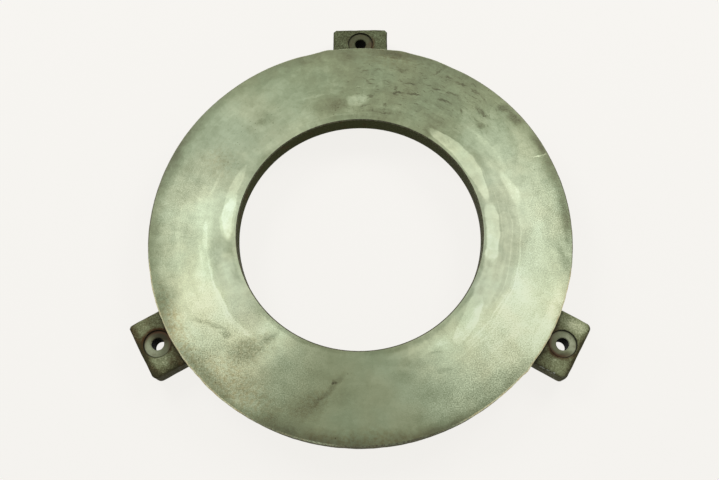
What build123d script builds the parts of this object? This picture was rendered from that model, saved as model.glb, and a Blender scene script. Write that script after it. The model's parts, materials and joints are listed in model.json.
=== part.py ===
from build123d import *
from math import hypot, radians, tan
import os

# Clutch pressure plate: one grey-iron casting, machined where it works.
# Frame: origin at the centre of the friction face, +Z out of that face towards the driven disc,
# +Y through the first drive lug. Depths are measured back from the friction face. Millimetres.

# Friction ring
OUTER_DIAMETER = 310.0
BORE_DIAMETER = 180.0
BORE_THICKNESS = 14.6        # ring thickness at the bore
RIM_THICKNESS = 20.0         # ring thickness at the outer wall
WALL_DRAFT = 2.0             # degrees, outer wall
OUTER_CHAMFER = 1.0          # turned edge, friction face to outer wall
BORE_CHAMFER = 0.8           # turned edge, friction face to bore
BORE_BACK_CHAMFER = 1.0
RIM_BACK_CHAMFER = 1.5

# Fulcrum ridge on the back, where the diaphragm spring presses
RIDGE_INSET = 12.5           # crest circle inside the ring's outer edge
RIDGE_DEPTH = 28.5           # friction face to crest
RIDGE_CREST_WIDTH = 6.0
RIDGE_CREST_CHAMFER = 1.5
RIDGE_FLANK = 20.0           # degrees from the axis
RIDGE_FOOT_DEPTH = 17.5      # ring thickness at the ridge's inner foot
RIDGE_INNER_FOOT_CHAMFER = 3.0
RIDGE_OUTER_FOOT_CHAMFER = 1.5

# Gaps that break the ridge into segments and let air through
GAP_COUNT = 12
GAP_WIDTH = 12.0             # at the gap's floor
GAP_FLARE = 12.0             # degrees, each side
GAP_DEPTH = 21.0             # friction face to gap floor
GAP_FLOOR_RADIUS = 3.0

# Drive lugs
LUG_COUNT = 3
LUG_WIDTH = 43.4
LUG_END_MARGIN = 12.8        # hole centre to the lug's end
LUG_FRONT_DEPTH = 9.9        # friction face to the lug's front
LUG_BACK_DEPTH = 26.3        # friction face to the lug's cast back
LUG_DRAFT = 1.5              # degrees
LUG_CORNER_RADIUS = 3.0
LUG_EDGE_RADIUS = 2.4        # front edges
LUG_ROOT_RADIUS = 3.0

# Machining of the lugs
HOLE_DIAMETER = 9.0
HOLE_STANDOFF = 10.7         # hole centre outside the ring's outer edge
HOLE_CHAMFER = 0.5
SPOTFACE_DIAMETER = 19.0
SPOTFACE_CUT = 2.0           # below the lug's cast front
SEAT_DEPTH = 25.5            # friction face to the strap seat
SEAT_INSET = 4.0             # the seat's inner end inside the ring's outer edge
SEAT_CUTTER_DIAMETER = 80.0

OUTER_R = OUTER_DIAMETER / 2
BORE_R = BORE_DIAMETER / 2
RIDGE_R = OUTER_R - RIDGE_INSET
HOLE_CIRCLE_R = OUTER_R + HOLE_STANDOFF
LUG_REACH = HOLE_CIRCLE_R + LUG_END_MARGIN
OVERRUN = 5.0                # how far a cutter runs past what it cuts
SAME = 0.01                  # lengths closer than this count as equal


def ring():
    """Body of revolution: friction ring with the fulcrum ridge all the way round."""
    half_crest = RIDGE_CREST_WIDTH / 2
    flank = tan(radians(RIDGE_FLANK))
    wall_back_r = OUTER_R - (RIM_THICKNESS - OUTER_CHAMFER) * tan(radians(WALL_DRAFT))
    outer_foot_r = RIDGE_R + half_crest + (RIDGE_DEPTH - RIM_THICKNESS) * flank
    inner_foot_r = RIDGE_R - half_crest - (RIDGE_DEPTH - RIDGE_FOOT_DEPTH) * flank

    # Points of the section as (radius, height).
    bore_back = (BORE_R, -BORE_THICKNESS)
    rim_back = (wall_back_r, -RIM_THICKNESS)
    outer_foot = (outer_foot_r, -RIM_THICKNESS)
    outer_crest = (RIDGE_R + half_crest, -RIDGE_DEPTH)
    inner_crest = (RIDGE_R - half_crest, -RIDGE_DEPTH)
    inner_foot = (inner_foot_r, -RIDGE_FOOT_DEPTH)
    section = make_face(Polyline(
        (BORE_R, -BORE_CHAMFER), (BORE_R + BORE_CHAMFER, 0),
        (OUTER_R - OUTER_CHAMFER, 0), (OUTER_R, -OUTER_CHAMFER),
        rim_back, outer_foot, outer_crest, inner_crest, inner_foot, bore_back,
        close=True,
    ))
    chamfers = (
        (bore_back, BORE_BACK_CHAMFER), (rim_back, RIM_BACK_CHAMFER),
        (outer_foot, RIDGE_OUTER_FOOT_CHAMFER), (inner_foot, RIDGE_INNER_FOOT_CHAMFER),
        (outer_crest, RIDGE_CREST_CHAMFER), (inner_crest, RIDGE_CREST_CHAMFER),
    )
    for (r, z), size in chamfers:
        corner = min(section.vertices(), key=lambda v: hypot(v.X - r, v.Y - z))
        section = chamfer(corner, size)
    return revolve(Plane.XZ * section, Axis.Z)


def lug():
    """One drive lug on +Y, with its inner end buried in the ridge under the crest circle."""
    length = LUG_REACH - RIDGE_R
    plan = Plane.XY.offset(-LUG_FRONT_DEPTH) * Pos(0, RIDGE_R + length / 2) * Rectangle(LUG_WIDTH, length)
    outer_corners = plan.vertices().sort_by(Axis.Y)[-2:]
    plan = fillet(outer_corners, LUG_CORNER_RADIUS)
    block = extrude(plan, amount=-(LUG_BACK_DEPTH - LUG_FRONT_DEPTH), taper=LUG_DRAFT)
    front = block.faces().sort_by(Axis.Z)[-1]
    inner_end = front.edges().sort_by(Axis.Y)[0]
    return fillet(front.edges() - [inner_end], LUG_EDGE_RADIUS)


def gap():
    """Cutter for one ridge gap, on +X: a flared slot with a rounded floor."""
    height = RIDGE_DEPTH - GAP_DEPTH + OVERRUN
    half_floor = GAP_WIDTH / 2
    half_mouth = half_floor + height * tan(radians(GAP_FLARE))
    floor_left, floor_right = (-half_floor, -GAP_DEPTH), (half_floor, -GAP_DEPTH)
    mouth_z = -GAP_DEPTH - height
    slot = make_face(Polyline(
        floor_left, floor_right, (half_mouth, mouth_z), (-half_mouth, mouth_z), close=True))
    floor_corners = slot.vertices().sort_by(Axis.Y)[-2:]
    slot = fillet(floor_corners, GAP_FLOOR_RADIUS)
    run = RIDGE_CREST_WIDTH / 2 + (RIDGE_DEPTH - RIDGE_FOOT_DEPTH) * tan(radians(RIDGE_FLANK)) + OVERRUN
    return extrude(Plane.YZ.offset(RIDGE_R - run) * slot, amount=2 * run)


def spotface_and_hole():
    """Cutter for one lug on +Y: the bolt hole, and the flat that its head seats on."""
    centre = Pos(0, HOLE_CIRCLE_R, OVERRUN)
    hole_run = LUG_BACK_DEPTH + 2 * OVERRUN
    spotface_run = LUG_FRONT_DEPTH + SPOTFACE_CUT + OVERRUN
    hole = centre * Pos(0, 0, -hole_run / 2) * Cylinder(HOLE_DIAMETER / 2, hole_run)
    spotface = centre * Pos(0, 0, -spotface_run / 2) * Cylinder(SPOTFACE_DIAMETER / 2, spotface_run)
    return hole + spotface


def strap_seat():
    """Cutter for one lug on +Y: the mill that faces the lug's back for the drive strap."""
    height = LUG_BACK_DEPTH - SEAT_DEPTH + OVERRUN
    cutter_r = SEAT_CUTTER_DIAMETER / 2
    return Pos(0, OUTER_R - SEAT_INSET + cutter_r, -SEAT_DEPTH - height / 2) * Cylinder(cutter_r, height)


def around(shape, count, first=0.0):
    """Copies of a shape at equal angles about the axis, the first turned by the given angle."""
    return [Rot(0, 0, first + 360 / count * i) * shape for i in range(count)]


def casting():
    """The casting as it leaves the mould: ring, lugs with filleted roots, and a broken ridge."""
    blank = ring()
    lugs = around(lug(), LUG_COUNT)
    body = blank + lugs
    joins = new_edges(blank, *lugs, combined=body)
    roots = [e for e in joins if e.bounding_box().max.Z > SAME - LUG_BACK_DEPTH]
    body = fillet(roots, LUG_ROOT_RADIUS)
    return body - around(gap(), GAP_COUNT, first=180 / GAP_COUNT)


def pressure_plate():
    """The casting after the lugs are spot-faced, drilled and milled, with the holes deburred."""
    body = casting() - around(strap_seat(), LUG_COUNT) - around(spotface_and_hole(), LUG_COUNT)
    circles = body.edges().filter_by(GeomType.CIRCLE)
    hole_rims = [e for e in circles if abs(e.radius - HOLE_DIAMETER / 2) < SAME]
    return chamfer(hole_rims, HOLE_CHAMFER)


PARTS = {"pressure_plate": pressure_plate()}

os.makedirs("parts", exist_ok=True)
for name, shape in PARTS.items():
    export_step(shape, f"parts/{name}.step")
    print(name, f"{shape.volume / 1000:.1f} cm3")
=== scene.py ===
import json
from math import acos, cos, hypot, pi, radians, sin, sqrt, tan

import bpy
import numpy as np
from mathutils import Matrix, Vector, noise


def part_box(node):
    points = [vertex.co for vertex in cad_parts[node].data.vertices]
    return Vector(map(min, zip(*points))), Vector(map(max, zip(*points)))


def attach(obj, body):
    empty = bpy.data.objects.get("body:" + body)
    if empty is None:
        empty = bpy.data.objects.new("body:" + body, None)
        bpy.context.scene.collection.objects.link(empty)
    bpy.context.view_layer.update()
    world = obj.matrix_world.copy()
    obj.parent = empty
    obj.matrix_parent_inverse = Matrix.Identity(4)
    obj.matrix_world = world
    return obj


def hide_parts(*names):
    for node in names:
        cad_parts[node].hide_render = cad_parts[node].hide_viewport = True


# Clutch pressure plate. Lengths are millimetres until they reach Blender. Z is 0 at the friction face and
# negative behind it.

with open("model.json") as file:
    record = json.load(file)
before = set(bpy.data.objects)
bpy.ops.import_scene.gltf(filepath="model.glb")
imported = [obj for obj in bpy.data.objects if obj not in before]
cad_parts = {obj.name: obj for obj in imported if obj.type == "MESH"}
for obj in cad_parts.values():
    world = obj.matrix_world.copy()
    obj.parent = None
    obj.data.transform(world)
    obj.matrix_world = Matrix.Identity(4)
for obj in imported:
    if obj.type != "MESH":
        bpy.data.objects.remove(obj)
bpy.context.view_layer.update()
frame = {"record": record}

MM = 0.001
NODE = "pressure_plate"
low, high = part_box(NODE)
mounts = {m["name"]: m for m in frame["record"]["mounts"]}

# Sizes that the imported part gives
OUTER_R, CREST_Z = round(-low.y / MM, 2), round(low.z / MM, 2)
BORE_R = mounts["centre_bore"]["dims"]["r_mm"]
bolts = mounts["strap_bolt_circle"]
HOLE_R, HOLE_CIRCLE_R = bolts["dims"]["hole_r_mm"], bolts["dims"]["pcd_mm"] / 2
SEAT_Z = bolts["pos_m"][2] / MM
RIDGE_R = -mounts["fulcrum_crest"]["pos_m"][1] / MM

# Sizes that the part's source has and the record hasn't
BORE_BACK_Z, RIM_BACK_Z, RIDGE_FOOT_Z = -14.6, -20.0, -17.5
WALL_SLOPE = tan(radians(2))
FLANK_SLOPE = tan(radians(20))
OUTER_CHAMFER, BORE_CHAMFER = 1.0, 0.8
HALF_CREST = 3.0
RIM_BACK_FILLET, OUTER_FOOT_FILLET, CREST_FILLET, INNER_FOOT_FILLET = 2.0, 2.5, 1.2, 5.0
BORE_BACK_FILLET = 1.2
GAP_HALF_FLOOR, GAP_FLARE, GAP_Z, GAP_FLOOR_RADIUS = 6.0, radians(12), -21.0, 3.0
LUG_HALF_WIDTH, LUG_REACH = 21.7, HOLE_CIRCLE_R + 12.8
LUG_FRONT_Z, LUG_BACK_Z = -9.9, -26.3
LUG_SLOPE = tan(radians(1.5))
LUG_CORNER_RADIUS, LUG_EDGE_RADIUS, LUG_BACK_EDGE_RADIUS = 3.0, 2.4, 1.2
LUG_ROOT_REACH, GAP_EDGE_REACH = 3.4, 1.6     # of the blends at the lugs' roots and the gaps' edges
# Each lug as the mould left it, from the top one: radii of its clockwise and anticlockwise outer corners, and
# how far it stands out past its clockwise side, its anticlockwise side and its end
CAST_CORNERS = ((1.5, 1.5), (1.8, 4.2), (3.3, 3.7))
CAST_EXTRA = ((0.3, 0.5, 0.8), (0.0, 0.6, 0.6), (0.6, 0.6, 0.1))
# The solid's spotfaces are 9.5 and -11.9. A later look at the photo made them wider and shallower
SPOTFACE_R, SPOTFACE_Z, HOLE_CHAMFER = 9.9, -11.0, 0.5
SEAT_INNER_R, SEAT_CUTTER_R = OUTER_R - 4, 40.0
CUTTER_TOP, DRILL_OVERRUN, MILL_OVERRUN = 5, 8, 6     # the drill's start, and what runs past the seat
LUG_AZIMUTHS = (90, 210, 330)
GAP_AZIMUTHS = tuple(15 + 30 * i for i in range(12))
SAME = 0.01                           # lengths closer than this count as equal


# ---------------------------------------------------------------- shape

def unit(v):
    return v / np.linalg.norm(v)


def path(corners):
    """Points along straight runs and arcs. A corner is (a, b, radius, segments of its arc, segments of the
    run that follows it). The first and last corner are plain points."""
    points, ends = [], []
    count = len(corners)
    for i, (a, b, radius, _, _) in enumerate(corners):
        here = np.array((a, b), float)
        if radius == 0:
            ends.append((here, here, None))
            continue
        before, after = (unit(np.array(corners[k % count][:2]) - here) for k in (i - 1, i + 1))
        half = acos(np.clip(before @ after, -1, 1)) / 2
        reach = radius / tan(half)
        centre = here + unit(before + after) * radius / sin(half)
        ends.append((here + before * reach, here + after * reach, centre))
    for i, (_, _, radius, arc, run) in enumerate(corners):
        start, stop, centre = ends[i]
        if centre is not None:
            u, v = start - centre, stop - centre
            angle = acos(np.clip(u @ v / radius ** 2, -1, 1))
            for k in range(arc):
                t = k / arc
                points.append(centre + (u * sin((1 - t) * angle) + v * sin(t * angle)) / sin(angle))
        target = ends[(i + 1) % count][0]
        for k in range(run):
            points.append(stop + (target - stop) * k / run)
    return np.array(points)


def wall_r(z):
    return OUTER_R - (-z - OUTER_CHAMFER) * WALL_SLOPE


def flank_r(z, side):
    return RIDGE_R + side * (HALF_CREST + (z - CREST_Z) * FLANK_SLOPE)


# Segments of a lug's outline, seen from the side
FRONT_RUN, FRONT_ARC, END_RUN, BACK_ARC, BACK_RUN = 10, 4, 5, 3, 8
BORE_ROWS = 7                         # the last rows, up the bore
# Section of the ring, closed, from the bore round the friction face, the outer wall and the ridge
section = [
    (BORE_R, -BORE_CHAMFER, 0, 0, 1),
    (BORE_R + BORE_CHAMFER, 0, 0, 0, 10),
    (OUTER_R - OUTER_CHAMFER, 0, 0, 0, 1),
    (OUTER_R, -OUTER_CHAMFER, 0, 0, 6),
    (wall_r(LUG_FRONT_Z), LUG_FRONT_Z, 0, 0, 14),
    (wall_r(RIM_BACK_Z), RIM_BACK_Z, RIM_BACK_FILLET, 4, 4),
    (flank_r(RIM_BACK_Z, 1), RIM_BACK_Z, OUTER_FOOT_FILLET, 4, 4),
    (flank_r(LUG_BACK_Z, 1), LUG_BACK_Z, 0, 0, 2),
    (flank_r(CREST_Z, 1), CREST_Z, CREST_FILLET, 3, 3),
    (flank_r(CREST_Z, -1), CREST_Z, CREST_FILLET, 3, 6),
    (flank_r(RIDGE_FOOT_Z, -1), RIDGE_FOOT_Z, INNER_FOOT_FILLET, 5, 17),
    (BORE_R, BORE_BACK_Z, BORE_BACK_FILLET, 3, BORE_ROWS),
]
ring = path(section)
rows = len(ring)
EDGE_ROW = 12                         # the row at the chamfer's lower edge
ANCHOR_1 = 18                         # the wall at the lug's front
WALL_END = ANCHOR_1 + 14              # the wall at its back
LUG_ROWS = 30
ANCHOR_2 = ANCHOR_1 + LUG_ROWS        # the flank at the lug's back
assert abs(ring[ANCHOR_1][1] - LUG_FRONT_Z) < 1e-6 and abs(ring[ANCHOR_2][1] - LUG_BACK_Z) < 1e-6


def ring_section(drop):
    """The ring's section with its wall rows moved so that the anchor row lies that much lower."""
    r, z = ring[:, 0].copy(), ring[:, 1].copy()
    if drop:
        above = slice(EDGE_ROW, ANCHOR_1 + 1)
        z[above] = -OUTER_CHAMFER + (z[above] + OUTER_CHAMFER) * (1 - drop / (LUG_FRONT_Z + OUTER_CHAMFER))
        below = slice(ANCHOR_1, WALL_END + 1)
        z[below] = np.linspace(LUG_FRONT_Z - drop, ring[WALL_END, 1], WALL_END + 1 - ANCHOR_1)
        wall = slice(EDGE_ROW, WALL_END + 1)
        r[wall] = wall_r(z[wall])
    return r, z


def lug_rows(x, inset):
    """The rows of a lug's outline between the anchor rows, in the plane at lateral distance x: (y, z) from
    the wall out and back to the ridge."""
    front = LUG_FRONT_Z - inset * LUG_EDGE_RADIUS
    back = LUG_BACK_Z + inset * LUG_BACK_EDGE_RADIUS
    reach = LUG_REACH - inset * LUG_CORNER_RADIUS
    outline = path([
        (sqrt(wall_r(front) ** 2 - x * x), front, 0, 0, FRONT_RUN),
        (reach, front, LUG_EDGE_RADIUS, FRONT_ARC, END_RUN),
        (reach - (front - back) * LUG_SLOPE, back, LUG_BACK_EDGE_RADIUS, BACK_ARC, BACK_RUN),
        (sqrt(flank_r(back, 1) ** 2 - x * x), back, 0, 0, 1),
    ])
    return outline[1:LUG_ROWS]


def column_angles(azimuth, x, parallel_r, r=ring[:, 0]):
    """Azimuth of one column of points at each row, parallel to the given azimuth outside parallel_r."""
    return radians(azimuth) + np.arcsin(x / np.maximum(r, parallel_r))


COLUMN_WIDTH = 2.3                    # of the columns between gaps and lugs
GAP_PARALLEL_R, LUG_PARALLEL_R = 134, 146     # columns run parallel outside these, and radially inside
GAP_OFFSETS = (0, 1.3, 2.5, 3.6, 4.5, 5.2, 5.75, 6.15, 6.45, 6.8, 7.15, 7.45, 7.7, 8.0, 8.4, 9.0, 9.8)
SIDE_STEPS = (0, .1, .22, .36, .5, .64, .77, .88, .95, 1)
FLAT_COLUMNS, CORNER_COLUMNS = 14, 4
CORNER_STEP, SIDE_START = 0.25, 1.2   # where a lug's corner columns and side columns meet the ring
# Columns beside a lug: (distance from it, share of its front edge's rounding that the wall's rows follow)
BESIDE_LUG = ((0.6, 1), (1.2, .96), (1.9, .8), (2.7, .5), (3.7, .2), (5.0, 0))


# A column is (azimuth of each row, lug points between the anchor rows or None, radii, heights)
def gap_columns(azimuth):
    for x in [-v for v in GAP_OFFSETS[:0:-1]] + list(GAP_OFFSETS):
        angles = column_angles(azimuth, x, GAP_PARALLEL_R)
        z = ring[:, 1].copy()
        slot = GAP_Z - max(0.0, abs(x) - GAP_HALF_FLOOR) / tan(GAP_FLARE)
        z = np.maximum(z, np.where(z < GAP_Z, max(slot, CREST_Z), z))
        yield angles, None, ring[:, 0], z


def lug_columns(azimuth):
    flat = LUG_HALF_WIDTH - LUG_CORNER_RADIUS
    half = [(x, x, 0.0, 0.0) for x in (flat * k / (FLAT_COLUMNS - 1) for k in range(FLAT_COLUMNS))]
    for k in range(1, CORNER_COLUMNS + 1):
        turn = radians(90 * k / CORNER_COLUMNS)
        half.append((flat + CORNER_STEP * k, flat + LUG_CORNER_RADIUS * sin(turn), 1 - cos(turn), 0.0))
    shared = np.linspace(flat + SIDE_START, LUG_HALF_WIDTH, len(SIDE_STEPS) - 1)
    half += [(x, LUG_HALF_WIDTH, 1.0, step) for step, x in zip(SIDE_STEPS[1:], shared)]
    half += [(LUG_HALF_WIDTH + extra, None, inset, None) for extra, inset in BESIDE_LUG]
    for side, series in ((-1, half[:0:-1]), (1, half)):
        for x_ring, x_lug, inset, step in series:
            r, z = ring_section(inset * LUG_EDGE_RADIUS)
            angles = column_angles(azimuth, side * x_ring, LUG_PARALLEL_R, r)
            if x_lug is None:
                yield angles, None, r, z
                continue
            x = side * x_lug
            between = slice(ANCHOR_1 + 1, ANCHOR_2)
            outline = lug_rows(x, inset)
            on_ring = np.column_stack([np.sqrt(r[between] ** 2 - x * x), z[between]])
            points = outline * (1 - step) + on_ring * step
            a = radians(azimuth)
            along, lateral = points[:, 0], np.full(len(points), x)
            placed = np.column_stack([
                along * cos(a) - lateral * sin(a), along * sin(a) + lateral * cos(a), points[:, 1]])
            yield angles, placed, r, z


features = sorted([(a, gap_columns) for a in GAP_AZIMUTHS] + [(a, lug_columns) for a in LUG_AZIMUTHS])
blocks = [list(make(azimuth)) for azimuth, make in features]
ordered = []
for block, next_block in zip(blocks, blocks[1:] + blocks[:1]):
    ordered += block
    before, after = block[-1][0], next_block[0][0] + (2 * pi if next_block is blocks[0] else 0)
    span = (after - before)[ANCHOR_1] * OUTER_R
    count = max(1, round(span / COLUMN_WIDTH))
    for i in range(1, count):
        ordered.append((before + (after - before) * i / count, None, ring[:, 0], ring[:, 1]))

grid = np.zeros((len(ordered), rows, 3))
for column, (angles, placed, r, z) in zip(grid, ordered):
    column[:] = np.column_stack([r * np.cos(angles), r * np.sin(angles), z])
    if placed is not None:
        column[ANCHOR_1 + 1:ANCHOR_2] = placed


def round_and(a, b, radius):
    """Distance to where both shapes are, its edge rounded."""
    corner = np.hypot(np.maximum(a + radius, 0), np.maximum(b + radius, 0))
    return np.minimum(np.maximum(a, b), -radius) + corner


def smooth_min(a, b, reach):
    h = np.maximum(reach - np.abs(a - b), 0) / reach
    return np.minimum(a, b) - h * h * reach / 4


def ring_distance(r, z):
    """Signed distance to the ring's section, which is a closed polygon."""
    best = np.full(len(r), 1e9)
    inside = np.zeros(len(r), bool)
    for (ar, az), (br, bz) in zip(ring, np.roll(ring, -1, 0)):
        er, ez = br - ar, bz - az
        wr, wz = r - ar, z - az
        t = np.clip((wr * er + wz * ez) / (er * er + ez * ez), 0, 1)
        best = np.minimum(best, (wr - er * t) ** 2 + (wz - ez * t) ** 2)
        crosses = (az > z) != (bz > z)
        if ez:
            inside ^= crosses & (r < er * wz / ez + ar)
    return np.where(inside, -1, 1) * np.sqrt(best)


def folded(x, y, first, step):
    """Distances along and across the nearest of the directions first, first + step, ... degrees, and which
    one it is."""
    turn = np.arctan2(y, x) - radians(first)
    which = np.round(turn / radians(step))
    turn -= radians(step) * which
    r = np.hypot(x, y)
    return r * np.cos(turn), r * np.sin(turn), which.astype(int)


def distance(p):
    """Signed distance to the casting, negative inside it, for points as rows."""
    x, y, z = p[:, 0], p[:, 1], p[:, 2]
    body = ring_distance(np.hypot(x, y), z)
    along, across, which = folded(x, y, LUG_AZIMUTHS[0], 120)
    side = (across > 0).astype(int)
    corner = np.array(CAST_CORNERS)[which % 3, side]
    extra = np.array(CAST_EXTRA)[which % 3]
    wide = LUG_HALF_WIDTH + extra[np.arange(len(side)), side]
    taper = (LUG_FRONT_Z - z) * LUG_SLOPE
    plan = round_and(np.abs(across) - (wide - taper), along - (LUG_REACH + extra[:, 2] - taper), corner)
    lug = round_and(plan, z - LUG_FRONT_Z, LUG_EDGE_RADIUS)
    lug = round_and(lug, LUG_BACK_Z - z, LUG_BACK_EDGE_RADIUS)
    lug = np.maximum(lug, RIDGE_R - along)
    body = smooth_min(body, lug, LUG_ROOT_REACH)
    across = np.abs(folded(x, y, GAP_AZIMUTHS[0], 30)[1])
    flank = (across - GAP_HALF_FLOOR) * cos(GAP_FLARE) + (z - GAP_Z) * sin(GAP_FLARE)
    slot = round_and(z - GAP_Z, flank, GAP_FLOOR_RADIUS)
    return -smooth_min(-body, slot, GAP_EDGE_REACH)


CLOSE, PROBE, LONGEST_STEP, LEAST_SLOPE = 1e-3, 0.04, 2, 0.25


def settle(p, rounds=5):
    """Moves points onto the surface, and returns them."""
    p = p.copy()
    live = np.arange(len(p))
    for _ in range(rounds):
        q = p[live]
        d = distance(q)
        off = np.abs(d) > CLOSE
        live, q, d = live[off], q[off], d[off]
        if not len(live):
            break
        slope = np.column_stack([
            distance(q + step) - distance(q - step) for step in np.eye(3) * PROBE]) / (2 * PROBE)
        size = np.maximum((slope ** 2).sum(1), LEAST_SLOPE)
        p[live] = q - slope * (np.clip(d, -LONGEST_STEP, LONGEST_STEP) / size)[:, None]
    return p


def evened(p, start, far_move=1.2, rounds=4):
    """The points, those that moved far from the start drawn towards their neighbours, so that the grid
    doesn't fold."""
    far = (np.linalg.norm(p - start, axis=1) > far_move).reshape(cols, rows, 1)
    net = p.reshape(cols, rows, 3)
    for _ in range(rounds):
        mean = (np.roll(net, 1, 0) + np.roll(net, -1, 0) + np.roll(net, 1, 1) + np.roll(net, -1, 1)) / 4
        net = np.where(far, mean, net)
    return net.reshape(-1, 3)


cols = len(ordered)
start = grid.reshape(-1, 3)
points = settle(evened(settle(start), start))
here = np.arange(cols * rows).reshape(cols, rows)
beside = np.roll(here, -1, 0)
quads = np.stack([here, np.roll(here, -1, 1), np.roll(beside, -1, 1), beside], -1).reshape(-1, 4)

# The casting's own unevenness. (azimuth, swell in mm, width in degrees) of the outer edge
RIM_SWELLS = (
    (78, .8, 2.6), (69, .3, 5), (62, -.35, 3), (99.8, .75, 1.8), (105.5, -.4, 2.5), (121, .2, 9),
    (150, .15, 12), (40, .15, 12), (192, -.25, 4), (224, -.35, 4), (318, .8, 1.1), (340, -.3, 5),
    (306, -.15, 6), (20, -.15, 6))


def rim_swell(azimuth):
    total = np.zeros(len(azimuth))
    for centre, swell, width in RIM_SWELLS:
        off = (azimuth - centre + 180) % 360 - 180
        total += swell * np.exp(-(off / width) ** 2)
    return total


def lumps(p, size, seed):
    at = p / size + np.array((seed, 2.3 * seed, -1.7 * seed))
    return np.array([noise.noise(Vector(v)) for v in at])


grid = points.reshape(cols, rows, 3)
across = np.roll(grid, -1, 0) - np.roll(grid, 1, 0)
along = np.roll(grid, -1, 1) - np.roll(grid, 1, 1)
normal = np.cross(along, across)
normal /= np.maximum(np.linalg.norm(normal, axis=2, keepdims=True), 1e-9)
if (normal[:, 5, 2]).mean() < 0:
    normal = -normal
normal = normal.reshape(-1, 3)
row_of = np.tile(np.arange(rows), cols)
azimuth = np.degrees(np.arctan2(points[:, 1], points[:, 0])) % 360
radius = np.hypot(points[:, 0], points[:, 1])
skin = (row_of > EDGE_ROW) & (row_of < rows - BORE_ROWS)
# The cast skin's unevenness ends at what the lathe cut: the ridge's crest and the bore
off_crest, off_bore = (points[:, 2] - CREST_Z) / 1.2, (radius - BORE_R) / 3
skin_share = np.where(skin, np.clip(off_crest, 0, 1) * np.clip(off_bore, 0, 1), 0)
UNEVENNESS = ((0.24, 15), (0.17, 6), (0.07, 3.2))      # (height, size) of the skin's lumps
rough = sum(height * lumps(points, size, seed) for seed, (height, size) in enumerate(UNEVENNESS, 1))
points += normal * (rough * skin_share)[:, None]

# The lip is torn most beside the lower lugs
torn_at = 0.16 + 0.3 * np.exp(-((azimuth - 222) / 20) ** 2) + 0.3 * np.exp(-((azimuth - 318) / 22) ** 2)
torn = lumps(points, 4.5, 5) * torn_at
# The swells fade out down the wall
on_wall = (row_of >= EDGE_ROW - 1) & (np.abs(radius - OUTER_R) < 2)
wall_share = np.where(on_wall, np.clip((points[:, 2] + 16) / 12, 0, 1), 0)
edge = row_of == EDGE_ROW
outward = rim_swell(azimuth) * wall_share + torn * edge
points[:, :2] *= (1 + outward / radius)[:, None]
points[edge, 2] = -OUTER_CHAMFER - torn[edge]
points[:, 2] = np.clip(points[:, 2], CREST_Z, 0)

CAST, FACE, EDGE, BORE, CREST, MILLED, DRILLED = range(7)
FINISHES = ("cast_skin", "friction_face", "turned_edge", "bore_wall", "fulcrum_crest", "milled", "drilled")
finish = np.full(rows, CAST)
finish[0] = finish[EDGE_ROW - 1] = EDGE
finish[1:EDGE_ROW - 1] = FACE
finish[-BORE_ROWS:] = BORE
finish = np.tile(finish, cols)
finish[(points[quads][:, :, 2] < CREST_Z + SAME).all(1)] = CREST


def mesh_object(name, vertices, faces, materials, finishes):
    mesh = bpy.data.meshes.new(name)
    mesh.from_pydata((np.asarray(vertices) * MM).tolist(), [], [list(f) for f in faces])
    for m in materials:
        mesh.materials.append(m)
    mesh.polygons.foreach_set("material_index", np.asarray(finishes, np.int32))
    mesh.update()
    obj = bpy.data.objects.new(name, mesh)
    bpy.context.scene.collection.objects.link(obj)
    return obj


def lathe(profile, centre, segments):
    """Closed solid of revolution about the line along +Z at centre. The profile's ends are on that line."""
    inner = profile[1:-1]
    vertices, faces = [(centre[0], centre[1], profile[0][1])], []
    for r, z in inner:
        for k in range(segments):
            turn = 2 * pi * k / segments
            vertices.append((centre[0] + r * cos(turn), centre[1] + r * sin(turn), z))
    vertices.append((centre[0], centre[1], profile[-1][1]))
    last = len(vertices) - 1
    for k in range(segments):
        n = (k + 1) % segments
        faces.append((0, 1 + k, 1 + n))
        for row in range(len(inner) - 1):
            a, b = 1 + row * segments, 1 + (row + 1) * segments
            faces.append((a + k, b + k, b + n, a + n))
        a = 1 + (len(inner) - 1) * segments
        faces.append((a + k, last, a + n))
    return vertices, faces


materials = [bpy.data.materials.new(n) for n in FINISHES]
casting = mesh_object("pressure_plate_casting", points, quads, materials, finish)

cut_vertices, cut_faces, cut_finish = [], [], []
for azimuth in LUG_AZIMUTHS:
    a = radians(azimuth)
    mouth = HOLE_R + HOLE_CHAMFER
    drill = [
        (0, CUTTER_TOP), (SPOTFACE_R, CUTTER_TOP), (SPOTFACE_R, SPOTFACE_Z), (mouth, SPOTFACE_Z),
        (HOLE_R, SPOTFACE_Z - HOLE_CHAMFER), (HOLE_R, SEAT_Z + HOLE_CHAMFER), (mouth, SEAT_Z),
        (mouth, SEAT_Z - DRILL_OVERRUN), (0, SEAT_Z - DRILL_OVERRUN)]
    mill = [(0, SEAT_Z), (SEAT_CUTTER_R, SEAT_Z), (SEAT_CUTTER_R, SEAT_Z - MILL_OVERRUN),
            (0, SEAT_Z - MILL_OVERRUN)]
    for profile, r, segments in ((drill, HOLE_CIRCLE_R, 96), (mill, SEAT_INNER_R + SEAT_CUTTER_R, 240)):
        centre = (r * cos(a), r * sin(a))
        v, f = lathe(profile, centre, segments)
        for face in f:
            reach = max(hypot(v[k][0] - centre[0], v[k][1] - centre[1]) for k in face)
            cut_finish.append(DRILLED if reach < HOLE_R + SAME else MILLED)
        shift = len(cut_vertices)
        cut_vertices += v
        cut_faces += [tuple(k + shift for k in face) for face in f]
cutter = mesh_object("cutter", cut_vertices, cut_faces, materials, cut_finish)

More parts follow.
